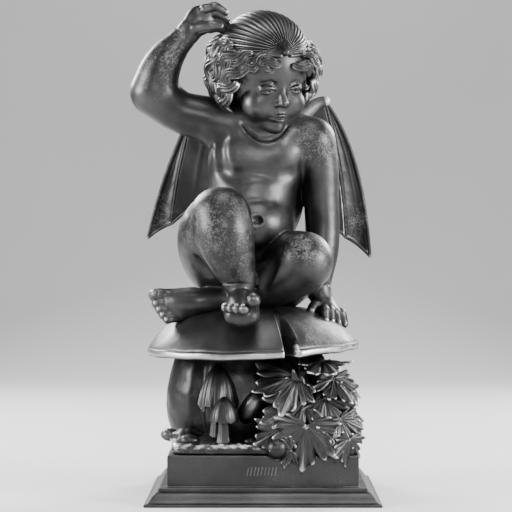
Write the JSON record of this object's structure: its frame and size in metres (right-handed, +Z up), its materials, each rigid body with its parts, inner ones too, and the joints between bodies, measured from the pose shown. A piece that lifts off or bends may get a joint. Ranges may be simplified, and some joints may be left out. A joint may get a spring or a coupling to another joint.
{
  "type": "puck statue",
  "caption": "Cast metal statue of a winged child sitting on a toadstool with leaves at its foot, on a low moulded plinth.",
  "frame": {"origin": "middle of the flat underside of the plinth", "axes": "+Z up, the figure's front towards -Y, +X to the viewer's right from the front"},
  "size_m": [0.3821, 0.3447, 0.7625],
  "materials": {
    "statue_metal": "dark satin cast metal, polished silvery on raised edges, mottled and speckled on limbs, dull in recesses",
    "plinth_metal": "dark satin cast metal with fine pitting, worn bright along the mouldings' edges"
  },
  "bodies": {
    "root": {"statue": "statue_metal", "plinth": "plinth_metal"}
  },
  "joints": []
}
